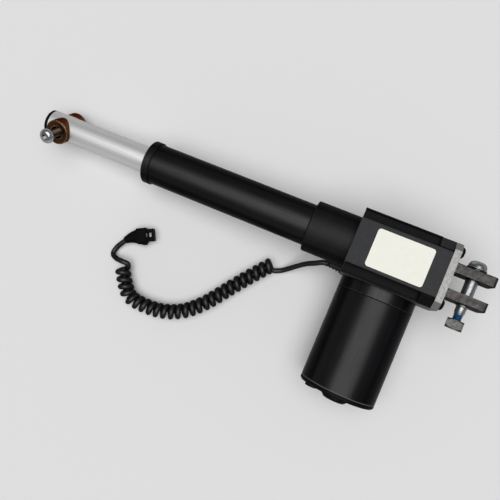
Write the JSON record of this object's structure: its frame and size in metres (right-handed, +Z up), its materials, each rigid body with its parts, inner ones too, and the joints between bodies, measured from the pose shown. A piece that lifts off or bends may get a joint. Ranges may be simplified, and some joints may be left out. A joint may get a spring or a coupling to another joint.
{
  "type": "tilt actuator",
  "caption": "Right-angle electric linear actuator: a worm-geared motor beside a boxed gearbox drives a tube rod with a cross eye, opposite a bolted rear clevis, with a curly lead.",
  "frame": {"origin": "on the surface that the actuator lies on, below the middle of its box without the cord", "axes": "+Z up; +X from the rear clevis to the rod's end, level with the surface; +Y from the tube to the motor's end cap"},
  "size_m": [0.4396, 0.1683, 0.0874],
  "materials": {
    "housing_black": "die-cast, matt black coating",
    "plate_aluminium": "bare milled",
    "clevis_steel": "dark grey steel",
    "zinc": "bright zinc plating",
    "black_screw": "black oxide",
    "tube_black": "satin black",
    "motor_black": "satin black",
    "black_plastic": "moulded black",
    "rod_steel": "satin plated",
    "saddle_yellow": "yellow passivated zinc",
    "bronze": "bearing bronze",
    "bearing_steel": "ground",
    "magnet": "sintered ferrite",
    "copper": "copper",
    "lamination": "laminated iron",
    "board": "circuit board",
    "nut_plastic": "acetal",
    "cord_black": "black sheath",
    "contact": "tinned"
  },
  "bodies": {
    "actuator_body": {"gearbox_housing": "housing_black", "rear_plate": "plate_aluminium", "rear_plate_screws": "black_screw", "rear_clevis": "clevis_steel", "front_collar": "housing_black", "outer_tube": "tube_black", "front_cap": "black_plastic", "rod_wiper": "black_plastic", "guide_bush": "nut_plastic", "limit_switch_board": "board", "limit_switches": "black_plastic", "front_screw_bearing": "bearing_steel", "rear_screw_bearing": "bearing_steel", "motor_adaptor": "housing_black", "adaptor_screws": "black_screw", "motor_can": "motor_black", "motor_end_cap": "motor_black", "motor_through_bolts": "zinc", "motor_magnets": "magnet", "brush_card": "black_plastic", "motor_brushes": "magnet", "motor_front_bearing": "bearing_steel", "motor_rear_bush": "bronze", "worm_end_bush": "bronze", "cable_gland": "black_plastic", "cord_lead": "cord_black", "cord_curl": "cord_black", "cord_tail": "cord_black", "plug_boot": "cord_black", "plug_body": "black_plastic", "plug_terminals": "contact", "plug_latch": "black_plastic"},
    "rod": {"inner_tube": "rod_steel", "upper_saddle": "saddle_yellow", "lower_saddle": "saddle_yellow", "cross_bush": "saddle_yellow", "front_screw": "zinc", "rod_end_plug": "black_plastic", "drive_nut": "nut_plastic"},
    "screw": {"lead_screw": "bearing_steel", "screw_tip_guide": "nut_plastic", "worm_wheel": "bronze", "screw_lock_nut": "bearing_steel"},
    "rotor": {"motor_shaft": "bearing_steel", "armature": "lamination", "commutator": "copper"},
    "rear_bolt": {"rear_bolt": "zinc", "rear_nut": "zinc"}
  },
  "joints": [
    {"name": "rod_slide", "type": "slide", "parent": "actuator_body", "child": "rod", "axis": [0.9952, 0, -0.0974], "range_m": [-0.068, 0.082]},
    {"name": "screw_turn", "type": "hinge", "parent": "actuator_body", "child": "screw", "pos_m": [-0.13393, -0.05365, 0.05291], "axis": [0.9952, 0, -0.0974], "continuous": true},
    {"name": "rotor_turn", "type": "hinge", "parent": "actuator_body", "child": "rotor", "pos_m": [-0.13569, -0.05365, 0.035], "axis": [0, 1, 0], "continuous": true},
    {"name": "rear_bolt_slide", "type": "slide", "parent": "actuator_body", "child": "rear_bolt", "axis": [0, 1, 0], "range_m": [-0.013, 0.0015]}
  ],
  "couplings": [
    {"joint": "screw_turn", "follows": "rod_slide", "rad_per_m": 628.32},
    {"joint": "rotor_turn", "follows": "rod_slide", "rad_per_m": 13823}
  ]
}
